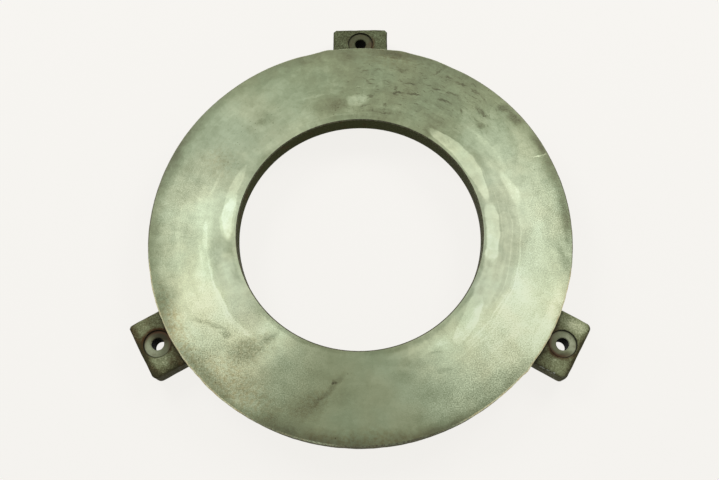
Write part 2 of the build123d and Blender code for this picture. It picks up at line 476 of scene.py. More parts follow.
SHARPEST_SMOOTH_EDGE = radians(32)
boolean = casting.modifiers.new("machining", "BOOLEAN")
boolean.operation, boolean.solver, boolean.object = "DIFFERENCE", "EXACT", cutter
boolean.use_self = True
graph = bpy.context.evaluated_depsgraph_get()
machined = bpy.data.meshes.new_from_object(casting.evaluated_get(graph))
casting.modifiers.clear()
casting.data = machined
machined.name = casting.name
bpy.data.objects.remove(cutter)
machined.polygons.foreach_set("use_smooth", [True] * len(machined.polygons))
machined.set_sharp_from_angle(angle=SHARPEST_SMOOTH_EDGE)

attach(casting, "root")
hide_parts(NODE)


# ---------------------------------------------------------------- finishes

def tone(r, g, b):
    """A colour written as it shows on a screen, 0 to 255, as the linear colour that Blender wants."""
    linear = (c / 255 / 12.92 if c <= 10 else ((c / 255 + 0.055) / 1.055) ** 2.4 for c in (r, g, b))
    return tuple(linear) + (1,)


class Nodes:
    """Shader nodes in one tree. Values are sockets or numbers."""

    def __init__(self, tree):
        self.tree = tree

    def link(self, a, b):
        self.tree.links.new(a, b)

    def put(self, socket, value):
        if isinstance(value, bpy.types.NodeSocket):
            self.link(value, socket)
        else:
            socket.default_value = value

    def add(self, kind, *values, **settings):
        """A node with those settings and values of its first inputs."""
        node = self.tree.nodes.new(kind)
        for name, value in settings.items():
            setattr(node, name, value)
        for socket, value in zip(node.inputs, values):
            self.put(socket, value)
        return node

    def result(self, kind, output=0, **inputs):
        """An output of a node whose inputs are given by name."""
        node = self.add(kind)
        for name, value in inputs.items():
            self.put(node.inputs[name], value)
        return node.outputs[output]

    def math(self, operation, *values, clamp=False):
        return self.add("ShaderNodeMath", *values, operation=operation, use_clamp=clamp).outputs[0]

    def times(self, a, b, clamp=False):
        return self.math("MULTIPLY", a, b, clamp=clamp)

    def times_plus(self, a, b, c):
        return self.math("MULTIPLY_ADD", a, b, c)

    def vector(self, operation, *values, scale=None):
        node = self.add("ShaderNodeVectorMath", *values, operation=operation)
        if scale is not None:
            self.put(node.inputs["Scale"], scale)
        return node.outputs["Value" if operation == "LENGTH" else "Vector"]

    def split(self, vector):
        return self.add("ShaderNodeSeparateXYZ", vector).outputs

    def join(self, x, y, z=0.0):
        return self.add("ShaderNodeCombineXYZ", x, y, z).outputs[0]

    def remap(self, value, low, high, to_low=0.0, to_high=1.0, smooth=True):
        kind = "SMOOTHSTEP" if smooth else "LINEAR"
        values = value, low, high, to_low, to_high
        return self.add("ShaderNodeMapRange", *values, interpolation_type=kind).outputs[0]

    def blend(self, share, a, b):
        """Shader a, and as much of shader b as the share says."""
        return self.add("ShaderNodeMixShader", share, a, b).outputs[0]


PATCH_INPUTS = (("Point", "Vector"), ("Location", "Vector"), ("Rotation", "Vector"), ("Scale", "Vector"),
                ("Outer", "Float"), ("Inner", "Float"), ("Amount", "Vector"))


def patch_group(name, square):
    """Group that adds a patch's amount to the total in the Z of a point. The total rides there so that Cycles
    works the patches out one after another: side by side they don't fit into its memory for one shader."""
    group = Nodes(bpy.data.node_groups.new(name, "ShaderNodeTree"))
    for socket, kind in PATCH_INPUTS:
        group.tree.interface.new_socket(socket, in_out="INPUT", socket_type="NodeSocket" + kind)
    group.tree.interface.new_socket("Point", in_out="OUTPUT", socket_type="NodeSocketVector")
    given = group.add("NodeGroupInput").outputs
    where = (given[name] for name in ("Point", "Location", "Rotation", "Scale"))
    reach = group.add("ShaderNodeMapping", *where, vector_type="TEXTURE").outputs[0]
    if square:
        reach = group.vector("MULTIPLY", reach, reach)
    inside = group.remap(group.vector("LENGTH", reach), given["Outer"], given["Inner"])
    total = group.vector("MULTIPLY_ADD", inside, given["Amount"], given["Point"])
    group.link(total, group.add("NodeGroupOutput").inputs[0])
    return group.tree


PATCH, BLUNT_PATCH = patch_group("patch", False), patch_group("blunt_patch", True)
FLAT = 1e7                             # scale that leaves nothing of the Z in a patch's own measure


class Paint(Nodes):
    """The nodes of one material. Lengths on the surface are millimetres."""

    def __init__(self, material):
        material.use_nodes = True
        super().__init__(material.node_tree)
        self.tree.nodes.clear()
        self.principled = self.add("ShaderNodeBsdfPrincipled")
        self.add("ShaderNodeOutputMaterial", self.principled.outputs[0])
        self.here = self.vector("SCALE", self.add("ShaderNodeTexCoord").outputs["Object"], scale=1 / MM)

    def noise(self, vector, size, detail=2.0, roughness=0.5, output="Fac"):
        return self.result(
            "ShaderNodeTexNoise", output, Vector=vector, Scale=1 / size, Detail=detail, Roughness=roughness)

    def spots(self, size, detail, roughness, low, high, *levels):
        """Noise of that size, levelled off below low and above high."""
        return self.remap(self.noise(self.here, size, detail, roughness), low, high, *levels)

    def cells(self, vector, size):
        return self.result("ShaderNodeTexVoronoi", "Distance", Vector=vector, Scale=1 / size)

    def warp(self, vector, size, amount, detail=2.0):
        """The vector moved about by noise of that size, by up to about half the amount."""
        parts = self.add("ShaderNodeSeparateColor", self.noise(vector, size, detail, output="Color"))
        offset = self.vector("SUBTRACT", self.join(*parts.outputs), (0.5, 0.5, 0.5))
        return self.vector("ADD", vector, self.vector("SCALE", offset, scale=amount))

    def ramp(self, value, stops):
        node = self.add("ShaderNodeValToRGB", value)
        ramp = node.color_ramp
        while len(ramp.elements) < len(stops):
            ramp.elements.new(0.5)
        for element, (at, colour) in zip(ramp.elements, stops):
            element.position, element.color = at, colour
        return node.outputs[0]

    def mix(self, share, a, b, blend="MIX"):
        node = self.add("ShaderNodeMix", data_type="RGBA", blend_type=blend)
        for name, value in (("Factor_Float", share), ("A_Color", a), ("B_Color", b)):
            self.put(next(x for x in node.inputs if x.identifier == name), value)
        return next(x for x in node.outputs if x.identifier == "Result_Color")

    def tint(self, colour, shade, share=1.0):
        return self.mix(share, colour, tone(*shade), "MULTIPLY")

    def plane(self, vector):
        """The vector without its height."""
        x, y, _ = self.split(vector)
        return self.join(x, y)

    def radius(self, vector):
        return self.vector("LENGTH", self.plane(vector))

    def turned(self, vector, angle):
        """The vector turned about the plate's axis."""
        node = self.add("ShaderNodeVectorRotate", vector, rotation_type="Z_AXIS")
        self.put(node.inputs["Angle"], angle)
        return node.outputs[0]

    def polar(self, vector):
        """(length along the circle of radius POLAR_R from azimuth SEAM_OPPOSITE, radius, 0)."""
        x, y, _ = self.split(self.turned(vector, radians(-SEAM_OPPOSITE)))
        angle = self.math("ARCTAN2", y, x)
        return self.join(self.times(angle, POLAR_R), self.radius(vector))

    def stretched(self, vector, x, y, z=1.0):
        return self.result("ShaderNodeMapping", Vector=vector, Scale=(x, y, z))

    def lug_frame(self):
        """The point turned so that the nearest lug is on +X."""
        x, y, _ = self.split(self.here)
        third = 2 * pi / 3
        from_top = self.math("SUBTRACT", self.math("ARCTAN2", y, x), pi / 2)
        turns = self.math("ROUND", self.math("DIVIDE", from_top, third))
        return self.turned(self.here, self.times_plus(turns, -third, -pi / 2))

    def from_hole(self):
        """Distance from the axis of the nearest lug's hole."""
        return self.radius(self.vector("SUBTRACT", self.lug_frame(), (HOLE_CIRCLE_R, 0, 0)))

    def patches(self, start, vector, table, polar=False, square=False):
        """start plus each patch's amount. A patch is (x, y, half length, half width, turn, softness, amount),
        or with polar its azimuth and radius in place of x and y. One without a turn isn't turned. A square
        patch has blunt ends."""
        x, y, _ = self.split(vector)
        point = self.join(x, y, start)
        for x, y, long, wide, *turn, soft, amount in table:
            if polar:
                x = radians((x - SEAM_OPPOSITE + 180) % 360 - 180) * POLAR_R
            power = 2 if square else 1
            values = (point, (x, y, 0), (0, 0, radians(sum(turn))), (long, wide, FLAT), (1 + soft) ** power,
                      (1 - soft) ** power, (0, 0, amount))
            kind = BLUNT_PATCH if square else PATCH
            point = self.add("ShaderNodeGroup", *values, node_tree=kind).outputs[0]
        return self.split(point)[2]

    def swing(self, value, amount, base=0.0):
        """base plus amount times the part of a 0 to 1 value that is above or below its middle."""
        return self.times_plus(self.math("SUBTRACT", value, 0.5), amount, base)

    def relief(self, height, distance):
        bump = self.result("ShaderNodeBump", Strength=1, Distance=distance * MM, Height=height)
        self.link(bump, self.principled.inputs["Normal"])

    def finish(self, colour, roughness, metallic=0.0, specular=0.5):
        for name, value in (("Base Color", colour), ("Roughness", roughness), ("Metallic", metallic),
                            ("Specular IOR Level", specular)):
            self.put(self.principled.inputs[name], value)


SEAM_OPPOSITE, POLAR_R = 92, 120.0       # the polar frame's seam is opposite this azimuth
# The ground iron's tones, from stained to bare, by brightness 0 to 255
IRON_TONES = ((60, (62, 61, 40)), (80, (82, 82, 58)), (108, (107, 111, 82)), (140, (133, 142, 110)),
              (168, (162, 171, 140)), (195, (191, 199, 166)), (225, (216, 226, 191)), (242, (232, 241, 213)))
DARKEST, PALEST = 60, 242


def iron_colour(p, brightness):
    value = p.remap(brightness, DARKEST, PALEST, smooth=False)
    return p.ramp(value, [((at - DARKEST) / (PALEST - DARKEST), tone(*c)) for at, c in IRON_TONES])


def along_ring(*rows):
    """Patches in the plane whose length runs along the ring, from (azimuth, radius, half length, half width,
    softness, amount)."""
    return tuple((r * cos(radians(a)), r * sin(radians(a)), long, wide, a + 90, soft, amount)
                 for a, r, long, wide, soft, amount in rows)


# Brightness of the friction face, 0 to 255, and what the wear of the facing, the stains and painted sheen
# change in it
STAINED = 144.0
# Painted reflection with wear: the broad patches make the face lighter in lobes to the left and right and
# darker at the top and bottom, the sheen of a turned face under side lamps
WEAR_AND_SHEEN = along_ring(
    (330, 96, 26, 7, .6, -18), (232, 116, 12, 9, .8, 14), (165, 128, 14, 8, .8, -14),
    (240, 120, 9, 10, .8, -10), (12, 138, 34, 11, .8, -12), (195, 144, 36, 8, .8, -14),
    (345, 122, 18, 22, .8, 12), (0, 112, 14, 8, .8, 10), (225, 112, 12, 9, .8, 10), (195, 93, 12, 4, .8, -10),
    (255, 128, 14, 14, .8, 8), (122, 93, 26, 4, .8, 14), (15, 151, 16, 4, .8, 14), (345, 93, 12, 3, .8, -14),
    (300, 151, 16, 5, .8, 9), (316, 151, 14, 4, .8, -12), (90, 93, 20, 3.5, .8, -10),
    (240, 150, 16, 6, .8, 9), (12, 92, 20, 3, .7, -10), (218, 92, 40, 4, .7, -14), (330, 96, 22, 5, .7, -8),
    (0, 150, 20, 5, .8, -8), (345, 150, 44, 6, .8, 14), (292, 151, 34, 6, .8, 14), (180, 99, 26, 8, .8, 8),
    (315, 136, 20, 10, .8, 8), (352, 126, 58, 44, .6, 48), (330, 126, 36, 38, .6, 18),
    (188, 124, 52, 44, .6, 44), (220, 120, 44, 46, .6, 64), (318, 122, 42, 46, .55, 52),
    (142, 108, 56, 36, .7, 20), (158, 108, 26, 30, .7, 8), (26, 116, 44, 34, .7, 28),
    (262, 132, 40, 34, .6, -4), (238, 100, 22, 18, .7, 16), (80, 128, 60, 40, .7, -8),
    (62, 132, 34, 34, .6, -10), (296, 112, 26, 26, .6, 18), (276, 122, 30, 30, .6, 8))
WORN_ARCS = (
    (-1.5, 97.6, 27, 4.7, .10, 34), (-19, 97, 22, 5.5, .5, 12), (36, 113.5, 30, 6, -5, .2, 15),
    (61, 104, 14, 1.6, 4, .5, 9), (-41, 102.5, 22, 5.4, -12, .10, 24), (-56, 104, 18, 4.4, -6, .25, 12),
    (-8, 105, 46, 9.5, .16, -12), (-12, 112.6, 52, 4.6, .12, -10), (205, 102, 44, 8.6, .14, -20),
    (200, 100, 20, 6, .5, 6), (45, 104.5, 34, 3.2, .3, -8))
FINE_ARCS = (
    (43, 111.5, 22, 4.5, .5, -18), (60, 114.5, 14, 3, .4, 15), (27, 121, 14, 3.5, .5, 10),
    (19, 113.5, 12, 3, .6, -14), (42, 125.5, 10, 3, .6, -13), (17, 105, 14, 3, .6, -12),
    (56, 98, 5, 4.5, .7, -24), (62, 96, 12, 5, .6, 9), (77, 101, 16, 4, .6, 13), (46, 92, 12, 2.2, .6, 14),
    (333, 92, 36, 2, .5, -20), (328, 98, 10, 4, .5, -14), (327, 109, 10, 7, .6, -17),
    (300, 106, 8, 4, .6, -18), (345, 104, 26, 2, .5, -10), (315, 114, 8, 3, .5, 12),
    (352, 110, 8, 2.5, .5, 12), (0, 96, 10, 3, .5, 12), (167, 98.7, 37, 4.1, -2.8, .12, 21),
    (174.5, 97.6, 21, 5.2, .10, 20), (35.5, 97.5, 46, 5.2, .08, 36), (16.5, 117, 15, 3.6, -7, .25, 20),
    (19, 116, 9, 2.2, -7, .5, 8), (182.5, 113, 12, 1.7, .5, 20), (190, 116.5, 12, 1.2, .6, 12),
    (168, 120, 16, 3, .5, 9), (163, 114, 12, 1, 3, .5, 9), (-12, 111, 46, .45, .6, 12),
    (-16, 117.6, 44, .5, .6, 18), (-30, 121, 24, .4, 3, .6, 9), (-36, 114.5, 22, .5, 3, .6, 18),
    (-44, 119, 12, .5, 6, .6, 14), (-50, 117, 18, .5, -3, .6, 14), (206, 111.3, 38, .7, -1, .6, 17),
    (212, 113.4, 20, .5, 2, .6, 12), (222, 112, 16, .6, -4, .6, 12), (30, 103, 20, .4, .6, 9),
    (5, 104, 30, .4, .6, 10), (138, 92.4, 40, 2, .6, -8), (300, 92.6, 56, 1.8, .7, -18),
    (235, 92, 46, 1.6, .7, -30), (-14, 92, 26, 1.2, .6, -10), (78, 147, 26, .5, .6, 9),
    (98, 96, 40, .5, .6, 8))
DIRT = (
    (-103, -71, 13, 1.6, -14, .6, 34), (-93, -78, 4, 2.8, -20, .6, 50), (-108, -69, 10, 5, -24, .8, 14),
    (-77, -90.5, 12, 8, 20, .7, 62), (-63, -81, 5.4, 3.6, 30, .7, 50), (-84, -84, 12, 5, 10, .8, 12),
    (-112, -98, 14, 6, -46, .8, 38), (-104, -92, 6, 5, .8, 14), (-137, -50, 9, 5, -66, .8, 26),
    (-100, -112, 9, 5, -44, .8, 18), (-32, -127, 11, 7, 24, .8, 26), (-21, -118, 14, 1.8, 46, .7, 26),
    (-18, -113, 1.8, 1.4, .5, 40), (-10, -122, 8, 5, 30, .8, 14), (-60, -128, 22, 9, -24, .8, 6),
    (-22, 102, 13, 5, 10, .9, 20), (-14, 106, 5, 3, .8, 12), (20, 97, 13, 2.6, -8, .8, 20),
    (2, 98, 6, 3, .8, 14), (-72, 92, 6, 5, .8, 14), (-84, 78, 7, 5, 50, .8, 10), (-99, 56, 7, 9, 20, .8, 14),
    (-76, 88, 4, 2, 20, .8, 16), (93, 97, 5, 1.8, -50, .5, 34), (97, 93, 4, 1.6, -40, .6, 26),
    (92, 84, 2.6, 2, .6, 30), (112, 99, 5, 3, -30, .7, 34), (119, 90, 5, 3.4, -50, .6, 34),
    (113, 92, 12, 9, -40, .8, 10), (135, 68, 7, 2, -62, .7, 20), (141, 46, 12, 4, -72, .8, 8),
    (147, 34, 16, 3.4, -76, .8, 14), (150, 4, 14, 3, -88, .8, 12), (147, -25, 12, 3.6, -74, .8, 34),
    (142, -34, 8, 3, -70, .8, 12), (26, 148, 9, 3, -6, .7, 20), (-12, 146, 8, 6, .8, 12),
    (-40, 141, 9, 5, .8, 9), (40, -98, 13, 3, 6, .7, 14), (58, -104, 5, 2, 12, .6, 18),
    (28, -108, 8, 4, .7, 12), (48, -120, 6, 3, 20, .7, 14), (104, -84, 12, 4, -60, .8, 14),
    (84, -100, 14, 6, 60, .8, 8), (106, -62, 14, 5, 60, .8, 6), (93, -109, 14, 3, 40, .7, 16))
PALE_SMEARS = along_ring(
    (331, 149, 20, 4, .5, 26), (120, 142, 14, 6, .7, -15), (180, 142, 12, 6, .7, -13),
    (90, 143, 14, 5, .7, -10), (240, 115, 12, 9, .7, -12), (0, 152, 14, 3, .6, -13),
    (315, 152, 12, 3, .6, -13), (196, 98, 11, 4, .6, 13), (196, 152, 10, 3, .6, 13), (239, 149, 12, 4, .6, 9),
    (61, 149, 12, 4, .6, 9)) + (
    (-114, 0, 22, 6, 84, .5, 16), (-117, 20, 12, 3.4, 88, .5, 10), (-114, -32, 16, 3.2, -84, .5, 10),
    (-129, -24, 16, 5, -80, .6, 8), (117, -40, 18, 4, 76, .5, 10), (132, -6, 20, 6, 90, .6, 8),
    (-2, 107, 8, 4.6, 8, .4, 34), (-2, 99.5, 8, 2.4, .6, 14), (-33, 111, 13, .9, 14, .6, 14),
    (-13, 120, 10, 1, -4, .6, 8), (-47, 90, 12, 4.6, 38, .35, 12), (-72, 116, 12, 7, 34, .5, 9),
    (-98, 92, 12, 9, 46, .5, 8), (-60, 126, 10, 5, 20, .5, 6), (-85, 95, 9, 3, 60, .4, 7),
    (-112, 62, 12, 5, 62, .5, 8), (137.5, 58.5, 6, .4, 26, .6, 40), (140, 60.5, 4, .35, 60, .6, 32),
    (133, 57, 4, .3, 10, .6, 26), (62, 74, 10, 3, -46, .5, 8), (126, 70, 12, 6, -60, .6, 8),
    (54, -84, 8, 3, 48, .5, 8), (30, -92, 12, 2.4, 14, .4, 9), (16, -108, 10, 6, .5, 6),
    (144, -56, 10, 3, -70, .6, 14), (60, -132, 14, 8, 20, .6, 8))
WARM = along_ring((325, 150, 40, 5, .6, 1), (222, 132, 56, 30, .7, 1), (330, 136, 54, 25, .7, 1))
COOL = along_ring(
    (208, 99, 34, 9, .6, .8), (5, 104, 44, 34, .8, 1), (343, 97, 30, 12, .7, 1), (155, 120, 60, 44, .8, .7))
BROWN = along_ring(
    (208, 149, 32, 7, .7, .7), (234, 144, 34, 12, .7, .6)) + (
    (-76, -90, 16, 11, 20, .8, .3), (-33, -128, 14, 9, 10, .8, .3), (-22, -117, 18, 5, 42, .8, .2),
    (117, 92, 14, 9, -50, .8, .15), (145, 44, 24, 7, -72, .8, .2), (24, 146, 20, 10, -6, .8, .4),
    (-22, 101, 14, 6, .8, .15), (0, -152, 100, 7, .8, .6), (-105, 56, 12, 14, 20, .8, .3))
SPECKLED = (
    (-24, 141, 84, 25, .25, 1.05), (198, 132, 78, 24, .4, .7), (232, 122, 50, 40, .35, .95),
    (308, 128, 46, 32, .35, .9), (166, 122, 30, 34, .6, .35), (12, 132, 40, 28, .5, .45),
    (60, 128, 60, 30, .7, .2))
SCRATCHED = ((60, 112, 44, 30, -30, .6, 1), (16, 122, 34, 22, .6, .8), (100, 96, 24, 22, -50, .7, .6))
PEPPERED = along_ring(
    (212, 140, 30, 10, .8, .6)) + (
    (-20, 100, 28, 14, .7, 1), (-74, 92, 22, 18, 40, .7, 1), (-98, 60, 14, 26, -20, .7, .8),
    (10, 100, 30, 14, .7, .6), (-76, -90, 26, 20, 20, .7, 1), (-110, -95, 26, 14, -48, .7, 1),
    (-104, -70, 18, 12, -14, .8, .6), (104, 94, 30, 24, -48, .8, .5), (-28, -126, 20, 14, 20, .8, .4),
    (40, -102, 40, 12, 8, .8, .4))
RIM_SHADE = (
    (0, -152, 110, 44, .6, 34), (0, 152, 130, 46, .6, 14), (-150, 10, 30, 110, .6, 34),
    (150, 40, 34, 50, .6, 34), (-120, 100, 40, 40, .7, 8), (70, -134, 30, 22, 30, .7, 16))
CALM = along_ring((266, 118, 52, 36, .5, -.6), (128, 122, 46, 30, .6, -.3))
# Dark dashes and squiggles in the oil near the top
MARKS = (
    (29, 114, 5, .8, -4, .6, 42), (42.5, 112.6, 5, .8, -3, .6, 42), (33, 133, 3.2, 1.3, -30, .7, 30),
    (38, 121.5, 4, .7, .6, 34), (28, 118.5, 2, 1.2, 60, .6, 26), (61, 117, 4, .8, -18, .6, 42),
    (71.5, 112.6, 4, .8, -20, .6, 34), (65, 105.2, 5.5, .8, -24, .6, 36), (61, 132.5, 2.8, .9, 30, .6, 30),
    (70, 127.5, 3.4, .8, -30, .6, 32), (79, 120.5, 5, .8, -24, .6, 32), (89, 115, 4, .7, -36, .6, 30),
    (96, 107, 3, .7, -60, .6, 28), (78, 97.5, .9, 2.6, .6, 32), (19, 96, 4.6, .8, -4, .7, 30),
    (19, 103, .9, 1.6, .7, 32), (8, 110.5, 1.6, 1.2, .7, 34), (3, 102, 3.4, .8, 10, .7, 26),
    (4, 134, 3, .8, .7, 24), (14, 134, 4, .8, .7, 22), (6, 124.5, 5, .7, -30, .7, 22),
    (54, -91, 5, .7, 8, .6, 24))
PIT_SIZE = 9.0


def paint_friction_face(p):
    soft = p.plane(p.warp(p.here, 34, 30, 3))
    near = p.plane(p.warp(p.warp(p.here, 15, 6), 2.6, 3.4, 3))
    crisp = p.polar(p.warp(p.warp(p.here, 17, 5), 1.6, 0.9))
    grooves = p.polar(p.here)
    # Wear of the facing, and the painted sheen of the turned face
    light = p.patches(STAINED, soft, WEAR_AND_SHEEN)
    light = p.patches(light, crisp, WORN_ARCS, polar=True, square=True)
    light = p.patches(light, crisp, FINE_ARCS, polar=True)
    light = p.patches(light, near, PALE_SMEARS)

    # Clouds of oily dust, broken up by the grain of the iron
    crumbs = p.spots(1.8, 4, 0.8, 0.36, 0.64, 0.55, 1.3)
    light = p.math("SUBTRACT", light, p.times(p.patches(0.0, near, DIRT + MARKS), crumbs))
    rim = p.remap(p.radius(p.warp(p.here, 12, 6, 3)), 143, 154.5)
    light = p.math("SUBTRACT", light, p.times(rim, p.patches(7.0, soft, RIM_SHADE)))

    # Smeared oil: broad clouds, and blotches with clear edges
    mottle = p.swing(p.noise(p.here, 24, 5, 0.6), 20)
    mottle = p.swing(p.noise(p.stretched(p.polar(p.warp(p.here, 20, 8)), 0.3, 1), 9, 4, 0.6), 26, mottle)
    for size, edge, amount in ((15, 0.03, 7.0), (7, 0.035, 6.0), (3.6, 0.05, 4.0)):
        blotch = p.noise(p.warp(p.here, size, size), size, 2, 0.55)
        mottle = p.swing(p.remap(blotch, 0.5 - edge, 0.5 + edge), amount, mottle)
    lines = p.noise(p.stretched(grooves, 0.03, 1), 1.5, 4, 0.65)
    mottle = p.swing(lines, 14, mottle)
    light = p.times_plus(mottle, p.patches(1.0, soft, CALM), light)

    speckled = p.patches(0.12, p.polar(p.warp(p.here, 20, 12, 3)), SPECKLED, polar=True)
    grain = p.noise(p.here, 0.85, 2, 0.8)
    light = p.math("ADD", light, p.times(speckled, p.remap(grain, 0.3, 0.7, -26, 26, smooth=False)))
    dashes = p.noise(p.stretched(p.polar(p.warp(p.here, 9, 6)), 0.2, 1), 1.5, 4, 0.7)
    marks = p.times(p.remap(dashes, 0.56, 0.66), p.patches(0.05, soft, SCRATCHED))
    light = p.times_plus(marks, -30, light)
    pepper = p.times(p.spots(1.5, 2, 0.6, 0.62, 0.72), p.patches(0.12, soft, PEPPERED))
    light = p.times_plus(pepper, -34, light)
    pits = p.times(p.remap(p.cells(p.warp(p.here, 5, 2), PIT_SIZE), 0.075, 0.03),
                  p.spots(18, 1, 0.5, 0.5, 0.62))
    light = p.times_plus(pits, -44, light)

    colour = iron_colour(p, light)
    drift = p.spots(46, 3, 0.55, 0.38, 0.62)
    colour = p.mix(drift, p.tint(colour, (255, 254, 248)), p.tint(colour, (250, 255, 252)))
    colour = p.tint(colour, (255, 251, 249), p.patches(0.0, soft, WARM))
    colour = p.tint(colour, (248, 248, 255), p.math("MINIMUM", p.patches(0.0, soft, COOL), 1.0))
    brown = p.times(p.patches(0.0, near, BROWN), p.spots(3, 3, 0.7, 0.4, 0.62))
    colour = p.tint(colour, (226, 206, 180), brown)
    dull = p.remap(light, 100, 230, 0.62, 0.46, smooth=False)
    p.finish(colour, p.swing(grain, 0.12, dull), metallic=0.3)
    height = p.math("ADD", p.times(lines, 0.5), p.math("SUBTRACT", grain, pits))
    p.relief(height, 0.03)


# The second colour darkens corners and the edges of recesses: grime, and painted shade
RUST, SOOT_AND_SHADE = tone(68, 45, 22), tone(28, 25, 12)
# Brightness of the cast skin on the lugs' faces, as patches in the plane: wear, and painted shade along the
# lugs' rounded ends and the left lug's lower side
SKIN = 101.0
SKIN_WEAR_AND_SHADE = (
    (155, -72, 8, 6, -40, .7, 68), (147, -65, 8, 6, -30, .7, 24), (137, -100, 8, 6, 60, .7, 26),
    (150, -98, 8, 5, 60, .7, 8), (-157, -71, 7, 7, .8, 20), (-139, -96, 8, 6, -40, .7, 36),
    (0, 168, 30, 20, .4, -12), (-16, 168, 6, 9, .8, -6), (15, 170, 6, 7, .8, 6),
    # Painted shade: dark bands along the rounded outer ends of the lugs, faint at the top lug, and along the
    # left lug's lower side
    (-155, -89.6, 26, 4.6, 120, .6, -60), (155, -89.3, 24, 2.8, 60, .6, -62),
    (-134.5, -100.5, 14, 3.4, 30, .6, -34), (0, 178, 22, 1.8, .5, -8))
SKIN_RUST = (
    (-148, -75, 9, 5, 24, .6, 1), (-139, -76, 7, 5, -30, .6, 1), (-132, -88, 9, 3, -60, .6, .8),
    (-156, -84, 4, 8, .6, .6), (133, -80, 4, 9, 30, .6, 1), (136, -92, 7, 5, .6, 1),
    (148, -93, 8, 3, -20, .7, .6), (139, -71, 6, 3, 60, .7, .7), (10.5, 164, 2.4, 6, .6, .9))
SKIN_CHIPS = ((131, -101.5, 8, 1.0, -28, .6, 1), (138, -105, 5, 1.3, -14, .6, 1))


def paint_cast_skin(p):
    near = p.plane(p.warp(p.warp(p.here, 9, 4), 1.6, 2, 3))
    height = p.split(p.here)[2]
    facing = p.math("ABSOLUTE", p.split(p.add("ShaderNodeTexCoord").outputs["Normal"])[2])
    grain = p.noise(p.here, 1.4, 3, 0.8)
    lumps = p.noise(p.here, 6, 4, 0.6)
    # Wear, and painted shade along the lugs' rounded edges
    light = p.patches(SKIN, near, SKIN_WEAR_AND_SHADE)
    light = p.swing(p.remap(grain, 0.34, 0.66), 40, light)
    light = p.times_plus(p.spots(1.0, 2, 0.7, 0.5, 0.64), 26, light)
    light = p.swing(p.remap(lumps, 0.3, 0.7, smooth=False), 30, light)
    # Painted shade: surfaces that face sideways, the lugs' sides and rounded edges and the ring's wall, are
    # painted darker than those that face up, the lugs' more than the ring's
    side_shade = p.remap(p.radius(p.here), 158, 152, 0.56, 0.80)
    light = p.times(light, p.remap(facing, 0.35, 0.985, side_shade, 1.0))
    top = p.remap(p.split(p.here)[1], 120, 150)
    colour = p.tint(p.tint(iron_colour(p, light), (250, 246, 238)), (237, 248, 253), top)

    reach = p.from_hole()
    beside = p.remap(p.math("ABSOLUTE", p.split(p.lug_frame())[1]), 27, 22)
    root = p.times(p.remap(p.radius(p.warp(p.here, 5, 3)), 160.0, 155.2), beside)
    on_lug = p.remap(height, -15, -12)
    rusty = p.times(p.patches(0.12, near, SKIN_RUST), p.spots(2.5, 3, 0.7, 0.3, 0.6, 0.6, 1.0))
    foul = p.times(p.math("MAXIMUM", p.remap(reach, SPOTFACE_R + 3.2, SPOTFACE_R + 0.6), root), on_lug)
    colour = p.mix(p.times(p.times(foul, rusty), 0.85, clamp=True), colour, RUST)
    # Painted shade with grime: a dark line round the edge of each spotface, and a dark band in the corner
    # where a lug meets the ring's wall
    around = p.remap(reach, SPOTFACE_R + 0.5, SPOTFACE_R + 0.1)
    soot_and_shade = p.times(p.math("MAXIMUM", around, p.math("POWER", root, 1.6)), on_lug)
    colour = p.mix(p.times(soot_and_shade, 0.8), colour, SOOT_AND_SHADE)
    blooms = p.spots(22, 4, 0.65, 0.58, 0.74)
    blooms = p.times(blooms, p.remap(p.split(p.here)[1], 130, 100))
    colour = p.mix(p.times(blooms, 0.35), colour, tone(96, 62, 34))
    chips = p.times(p.patches(0.0, near, SKIN_CHIPS), p.spots(2, 3, 0.7, 0.5, 0.62))
    colour = p.mix(p.times(chips, p.remap(height, -14, -12)), colour, tone(150, 156, 142))
    p.finish(colour, p.swing(grain, 0.2, 0.85), specular=0.15)
    p.relief(p.times_plus(lumps, 2.0, grain), 0.25)


# Brightness of the turned edges: the rim's lip is rubbed bare beside the lower lugs
LIP = 98.0
LIP_WEAR = (
    (215, 155, 58, 9, .3, 128), (322, 155, 54, 9, .3, 134), (352, 155, 26, 9, .5, 30),
    (90, 155, 60, 9, .5, 50), (130, 155, 50, 9, .6, 22), (256, 155, 18, 9, .4, 60), (45, 155, 40, 9, .6, 14))


def paint_turned_edge(p):
    lip = p.polar(p.warp(p.here, 8, 5))
    light = p.patches(LIP, lip, LIP_WEAR, polar=True)
    nicks = p.noise(p.here, 1.4, 3, 0.75)
    light = p.swing(p.remap(nicks, 0.35, 0.65), 60, light)
    light = p.times_plus(p.remap(p.radius(p.here), 120, 100), -26, light)
    colour = iron_colour(p, light)
    warm = p.spots(5, 3, 0.7, 0.42, 0.6)
    colour = p.tint(colour, (238, 208, 184), p.times(warm, 0.5))
    colour = p.tint(colour, (255, 246, 232), p.remap(light, 165, 210))
    p.finish(colour, 0.6, metallic=0.2)
    p.relief(nicks, 0.1)


def paint_bore_wall(p):
    x, y, z = p.split(p.here)
    turning = p.noise(p.join(p.times(x, 0.02), p.times(y, 0.02), z), 0.7, 3, 0.7)
    stain = p.noise(p.here, 9, 4, 0.65)
    # The wall is kept very dark all round: dark cast iron, and in part painted shade
    light = p.swing(stain, 30, 52)
    light = p.swing(turning, 22, light)
    colour = p.tint(iron_colour(p, light), (230, 240, 196))
    colour = p.mix(p.times(p.remap(stain, 0.55, 0.7), 0.5), colour, tone(66, 44, 22))
    p.finish(colour, 0.85, specular=0.06)
    p.relief(turning, 0.08)


